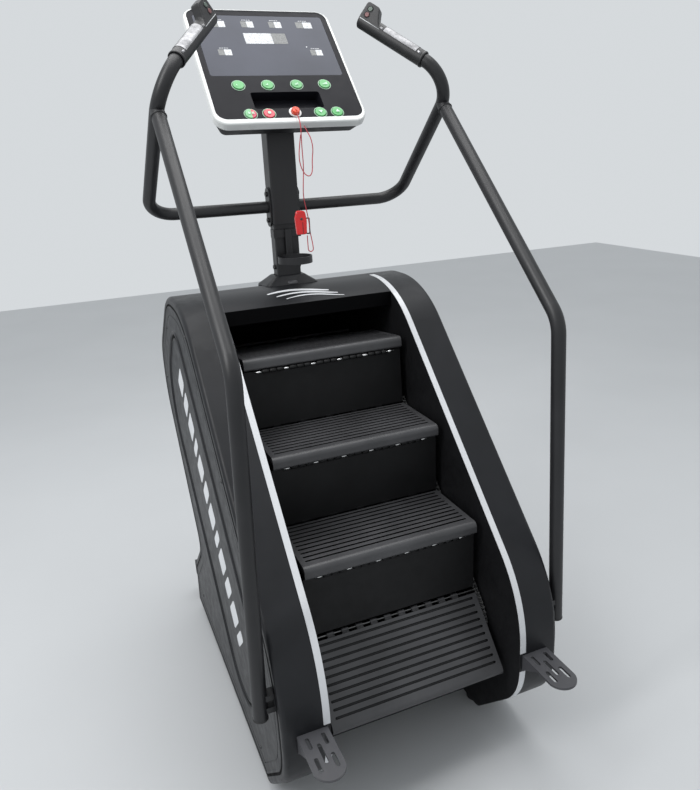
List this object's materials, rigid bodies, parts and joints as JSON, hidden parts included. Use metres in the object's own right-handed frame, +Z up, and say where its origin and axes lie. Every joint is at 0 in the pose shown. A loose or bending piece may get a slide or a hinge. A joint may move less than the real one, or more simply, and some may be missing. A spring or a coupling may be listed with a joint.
{
  "type": "stair climber",
  "caption": "Stair climber: hinged treads on a chain loop between two tall housings, handrails and a tilted console on a mast.",
  "frame": {"origin": "centre of the machine's bounding box, on the floor", "axes": "+Z up, user stands at -Y and faces +Y, +X to the user's right"},
  "size_m": [0.824, 1.34, 1.938],
  "materials": {
    "frame_black": "textured powder coat",
    "shell_black": "satin moulded shell",
    "tread_black": "ribbed, lightly worn",
    "trim_white": "bright strip",
    "chain_steel": "oiled",
    "drive_steel": "turned",
    "motor_alloy": "cast",
    "bearing_iron": "painted",
    "console_black": "fine texture",
    "face_black": "printed panel",
    "rim_white": "moulded",
    "display_grey": "tinted window",
    "button_green": "moulded",
    "button_red": "moulded",
    "key_red": "moulded",
    "clip_red": "moulded",
    "cord_red": "braided",
    "grip_grey": "soft grip",
    "grip_button_a": "moulded",
    "grip_button_b": "moulded",
    "pulse_chrome": "polished",
    "peg_grey": "textured powder coat",
    "bolt_chrome": "plated",
    "foot_rubber": "moulded",
    "wheel_rubber": "moulded",
    "inlet_black": "moulded",
    "switch_red": "moulded"
  },
  "bodies": {
    "frame": {"base_frame": "frame_black", "bottle_holder": "frame_black", "brake_motor": "motor_alloy", "bridge_cover": "shell_black", "console_back": "console_black", "console_face": "face_black", "console_rim": "rim_white", "display_window": "display_grey", "foot_pegs": "peg_grey", "grip_left": "grip_grey", "grip_right": "grip_grey", "handlebar_left": "frame_black", "handlebar_right": "frame_black", "handrail_left": "frame_black", "handrail_right": "frame_black", "inner_panels": "shell_black", "levelling_feet": "foot_rubber", "mast_bolts": "bolt_chrome", "mast_boot": "shell_black", "mast_post": "frame_black", "mast_sleeve": "frame_black", "power_inlet": "inlet_black", "pulse_plates": "pulse_chrome", "rear_cover": "shell_black", "shaft_bearings": "bearing_iron", "side_cover_left": "shell_black", "side_cover_right": "shell_black", "side_frames": "frame_black", "trim_strips": "trim_white"},
    "flight": {"tread_1": "tread_black", "tread_2": "tread_black", "tread_3": "tread_black", "upper_risers": "tread_black", "lower_riser": "tread_black", "front_chains": "chain_steel"},
    "lower_turning": {"tread_4": "tread_black", "turning_riser": "tread_black", "turning_chains": "chain_steel", "lower_shaft": "drive_steel"},
    "upper_turning": {"top_step": "tread_black", "upper_shaft": "drive_steel"},
    "return_run": {"return_steps": "tread_black"},
    "level_button_1_body": {"level_button_1": "button_green"},
    "level_button_2_body": {"level_button_2": "button_green"},
    "level_button_3_body": {"level_button_3": "button_green"},
    "level_button_4_body": {"level_button_4": "button_green"},
    "start_pause_button_body": {"start_pause_button": "button_green"},
    "stop_button_body": {"stop_button": "button_red"},
    "speed_down_button_body": {"speed_down_button": "button_green"},
    "speed_up_button_body": {"speed_up_button": "button_green"},
    "grip_button_left_up_body": {"grip_button_left_up": "grip_button_a"},
    "grip_button_left_down_body": {"grip_button_left_down": "grip_button_b"},
    "grip_button_right_up_body": {"grip_button_right_up": "grip_button_a"},
    "grip_button_right_down_body": {"grip_button_right_down": "grip_button_b"},
    "lanyard": {"safety_key": "key_red", "key_cord": "cord_red", "slack_cord": "cord_red", "key_clip": "clip_red"},
    "rocker": {"power_switch": "switch_red"},
    "wheels": {"transport_wheels": "wheel_rubber"}
  },
  "joints": [
    {"name": "stair_travel", "type": "slide", "parent": "frame", "child": "flight", "axis": [0, -0.6996, -0.7146], "range_m": [-0.02, 0.06]},
    {"name": "lower_turn", "type": "hinge", "parent": "frame", "child": "lower_turning", "pos_m": [0, -0.28753, 0.32714], "axis": [1, 0, 0], "range_deg": [-11.4, 33.6]},
    {"name": "upper_turn", "type": "hinge", "parent": "frame", "child": "upper_turning", "pos_m": [0, 0.26775, 0.89433], "axis": [1, 0, 0], "range_deg": [-11.4, 33.6]},
    {"name": "return_travel", "type": "slide", "parent": "frame", "child": "return_run", "axis": [0, 0.6996, 0.7146], "range_m": [-0.021, 0.061]},
    {"name": "level_button_1_press", "type": "slide", "parent": "frame", "child": "level_button_1_body", "axis": [0, 0.7373, -0.6756], "range_m": [0, 0.0012], "stiffness_N_per_m": 900, "springref_m": -0.0008},
    {"name": "level_button_2_press", "type": "slide", "parent": "frame", "child": "level_button_2_body", "axis": [0, 0.7373, -0.6756], "range_m": [0, 0.0012], "stiffness_N_per_m": 900, "springref_m": -0.0008},
    {"name": "level_button_3_press", "type": "slide", "parent": "frame", "child": "level_button_3_body", "axis": [0, 0.7373, -0.6756], "range_m": [0, 0.0012], "stiffness_N_per_m": 900, "springref_m": -0.0008},
    {"name": "level_button_4_press", "type": "slide", "parent": "frame", "child": "level_button_4_body", "axis": [0, 0.7373, -0.6756], "range_m": [0, 0.0012], "stiffness_N_per_m": 900, "springref_m": -0.0008},
    {"name": "start_pause_button_press", "type": "slide", "parent": "frame", "child": "start_pause_button_body", "axis": [0, 0.7373, -0.6756], "range_m": [0, 0.0012], "stiffness_N_per_m": 900, "springref_m": -0.0008},
    {"name": "stop_button_press", "type": "slide", "parent": "frame", "child": "stop_button_body", "axis": [0, 0.7373, -0.6756], "range_m": [0, 0.0012], "stiffness_N_per_m": 900, "springref_m": -0.0008},
    {"name": "speed_down_button_press", "type": "slide", "parent": "frame", "child": "speed_down_button_body", "axis": [0, 0.7373, -0.6756], "range_m": [0, 0.0012], "stiffness_N_per_m": 900, "springref_m": -0.0008},
    {"name": "speed_up_button_press", "type": "slide", "parent": "frame", "child": "speed_up_button_body", "axis": [0, 0.7373, -0.6756], "range_m": [0, 0.0012], "stiffness_N_per_m": 900, "springref_m": -0.0008},
    {"name": "grip_button_left_up_press", "type": "slide", "parent": "frame", "child": "grip_button_left_up_body", "axis": [-0.5892, 0.7649, -0.2603], "range_m": [0, 0.0011], "stiffness_N_per_m": 500, "springref_m": -0.0008},
    {"name": "grip_button_left_down_press", "type": "slide", "parent": "frame", "child": "grip_button_left_down_body", "axis": [-0.5892, 0.7649, -0.2603], "range_m": [0, 0.0011], "stiffness_N_per_m": 500, "springref_m": -0.0008},
    {"name": "grip_button_right_up_press", "type": "slide", "parent": "frame", "child": "grip_button_right_up_body", "axis": [0.5892, 0.7649, -0.2603], "range_m": [0, 0.0011], "stiffness_N_per_m": 500, "springref_m": -0.0008},
    {"name": "grip_button_right_down_press", "type": "slide", "parent": "frame", "child": "grip_button_right_down_body", "axis": [0.5892, 0.7649, -0.2603], "range_m": [0, 0.0011], "stiffness_N_per_m": 500, "springref_m": -0.0008},
    {"name": "key_pull", "type": "slide", "parent": "frame", "child": "lanyard", "axis": [0, -0.7373, 0.6756], "range_m": [0, 0.012]},
    {"name": "switch_rock", "type": "hinge", "parent": "frame", "child": "rocker", "pos_m": [-0.168, 0.5302, 0.118], "axis": [1, 0, 0], "range_deg": [-8, 8]},
    {"name": "wheel_spin", "type": "hinge", "parent": "frame", "child": "wheels", "pos_m": [0, 0.643, 0.028], "axis": [1, 0, 0], "continuous": true}
  ],
  "couplings": [
    {"joint": "lower_turn", "follows": "stair_travel", "rad_per_m": 9.6946},
    {"joint": "upper_turn", "follows": "stair_travel", "rad_per_m": 9.6946},
    {"joint": "return_travel", "follows": "stair_travel", "ratio": 1}
  ]
}
